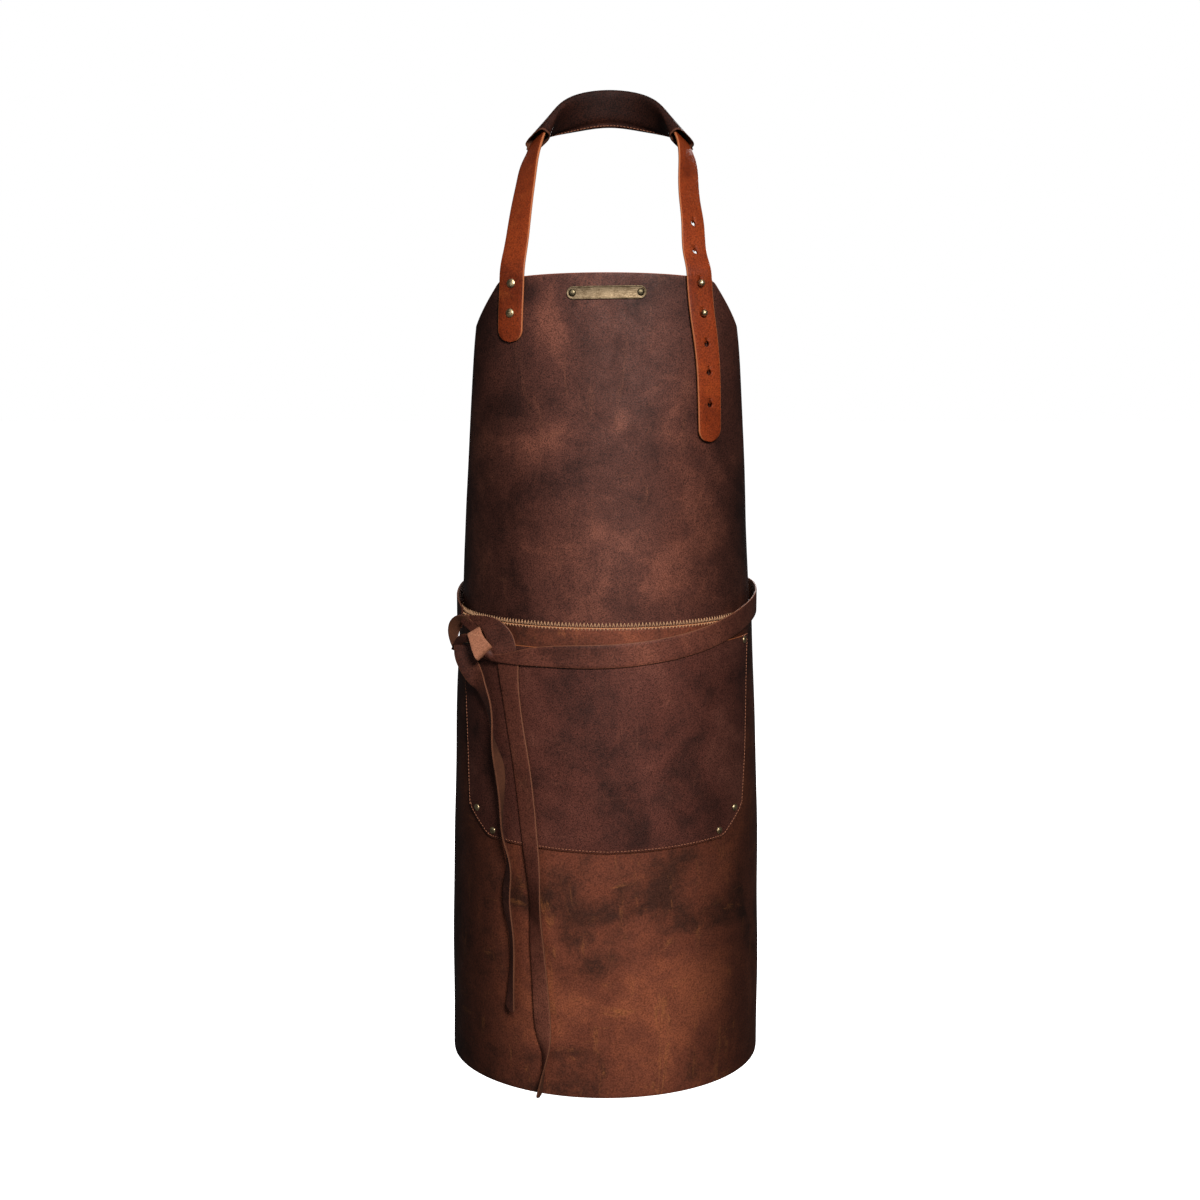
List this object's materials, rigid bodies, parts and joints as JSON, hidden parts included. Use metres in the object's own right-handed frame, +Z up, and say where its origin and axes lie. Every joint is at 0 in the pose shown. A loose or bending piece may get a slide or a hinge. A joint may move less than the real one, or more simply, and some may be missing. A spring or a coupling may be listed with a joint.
{
  "type": "butcher apron",
  "caption": "Leather butcher apron in its worn shape: bib lapped under a wrapped skirt, front pocket, buttoned neck strap with sliding pad, and waist ties knotted at the front.",
  "frame": {"origin": "where the inner face of the neck pad rests on the nape, on the middle plane of the apron", "axes": "+Z up along the wearer's body; the front of the apron faces -Y; +X is to the right as the front is looked at"},
  "size_m": [0.3554, 0.3034, 1.0807],
  "materials": {
    "bib_leather": "dark brown pull-up leather, satin, mottled",
    "skirt_leather": "reddish brown pull-up leather, satin, with lighter rub marks",
    "strap_leather": "tan bridle leather, satin",
    "thread": "waxed tan thread",
    "brass": "antique brass, brushed"
  },
  "bodies": {
    "apron": {"bib_panel": "bib_leather", "front_pocket": "bib_leather", "knot_loop_left": "skirt_leather", "knot_loop_right": "skirt_leather", "name_plate": "brass", "neck_strap": "strap_leather", "plate_rivet_left": "brass", "plate_rivet_left_back_cap": "brass", "plate_rivet_right": "brass", "plate_rivet_right_back_cap": "brass", "pocket_rivet_bottom_left": "brass", "pocket_rivet_bottom_left_back_cap": "brass", "pocket_rivet_bottom_right": "brass", "pocket_rivet_bottom_right_back_cap": "brass", "pocket_rivet_side_left": "brass", "pocket_rivet_side_left_back_cap": "brass", "pocket_rivet_side_right": "brass", "pocket_rivet_side_right_back_cap": "brass", "pocket_rivet_top_left": "brass", "pocket_rivet_top_left_back_cap": "brass", "pocket_rivet_top_right": "brass", "pocket_rivet_top_right_back_cap": "brass", "pocket_thread": "thread", "skirt_panel": "skirt_leather", "strap_rivet_lower": "brass", "strap_rivet_lower_back_cap": "brass", "strap_rivet_upper": "brass", "strap_rivet_upper_back_cap": "brass", "strap_stud_lower": "brass", "strap_stud_lower_screw": "brass", "strap_stud_upper": "brass", "strap_stud_upper_screw": "brass", "tie_knot": "skirt_leather", "tie_rivet_back_left": "brass", "tie_rivet_back_left_back_cap": "brass", "tie_rivet_back_right": "brass", "tie_rivet_back_right_back_cap": "brass", "tie_rivet_front_left": "brass", "tie_rivet_front_left_back_cap": "brass", "tie_rivet_front_right": "brass", "tie_rivet_front_right_back_cap": "brass", "waist_seam_thread": "thread", "waist_tie_left": "skirt_leather", "waist_tie_right": "skirt_leather"},
    "pad": {"neck_pad": "bib_leather", "pad_thread": "thread"},
    "tail_left": {"tie_tail_left": "skirt_leather"},
    "tail_right": {"tie_tail_right": "skirt_leather"}
  },
  "joints": [
    {"name": "pad_slide", "type": "hinge", "parent": "apron", "child": "pad", "pos_m": [0.00349, -0.05051, -0.05556], "axis": [0, -0.7157, 0.6984], "range_deg": [-3, 3]},
    {"name": "tail_left_swing", "type": "hinge", "parent": "apron", "child": "tail_left", "pos_m": [-0.14313, -0.08862, -0.59316], "axis": [-0.652, 0.7582, 0], "range_deg": [0, 70]},
    {"name": "tail_right_swing", "type": "hinge", "parent": "apron", "child": "tail_right", "pos_m": [-0.10317, -0.11674, -0.59016], "axis": [-0.8424, 0.5388, 0], "range_deg": [0, 70]}
  ]
}
